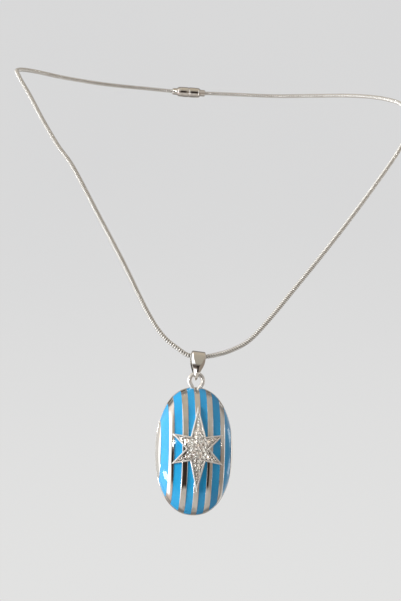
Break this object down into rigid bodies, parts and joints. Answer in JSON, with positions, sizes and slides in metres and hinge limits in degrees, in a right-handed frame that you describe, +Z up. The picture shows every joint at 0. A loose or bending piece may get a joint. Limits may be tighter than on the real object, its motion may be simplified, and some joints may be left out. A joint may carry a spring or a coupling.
{
  "type": "oval enamel star pendant necklace",
  "caption": "Domed oval pendant with enamel stripes and a raised star of small clear stones, on a tapered bail and a fine snake chain.",
  "frame": {"origin": "middle of the clasp, where the chain rests on the nape of the wearer's neck", "axes": "+Z up, -Y the way the pendant faces, +X to the right seen from the front"},
  "size_m": [0.1223, 0.1257, 0.1482],
  "materials": {
    "polished_silver": "polished silver plate",
    "chain_silver": "bright silver plate",
    "blue_enamel": "glossy sky-blue enamel",
    "clear_stone": "clear cut stones"
  },
  "bodies": {
    "root": {"chain": "chain_silver", "clasp": "chain_silver"},
    "bail": {"bail": "polished_silver"},
    "pendant": {"casting": "polished_silver", "back_plate": "polished_silver", "stones": "clear_stone", "enamel_left_outer": "blue_enamel", "enamel_left_mid_top": "blue_enamel", "enamel_left_mid_side": "blue_enamel", "enamel_left_mid_bottom": "blue_enamel", "enamel_left_inner_top": "blue_enamel", "enamel_left_inner_bottom": "blue_enamel", "enamel_right_outer": "blue_enamel", "enamel_right_mid_top": "blue_enamel", "enamel_right_mid_side": "blue_enamel", "enamel_right_mid_bottom": "blue_enamel", "enamel_right_inner_top": "blue_enamel", "enamel_right_inner_bottom": "blue_enamel"}
  },
  "joints": [
    {"name": "bail_swing", "type": "hinge", "parent": "root", "child": "bail", "pos_m": [-0.014, -0.118, -0.106], "axis": [1, 0, 0], "range_deg": [-60, 60]},
    {"name": "pendant_swing", "type": "hinge", "parent": "bail", "child": "pendant", "pos_m": [-0.014, -0.118, -0.11055], "axis": [1, 0, 0], "range_deg": [-75, 75]}
  ]
}
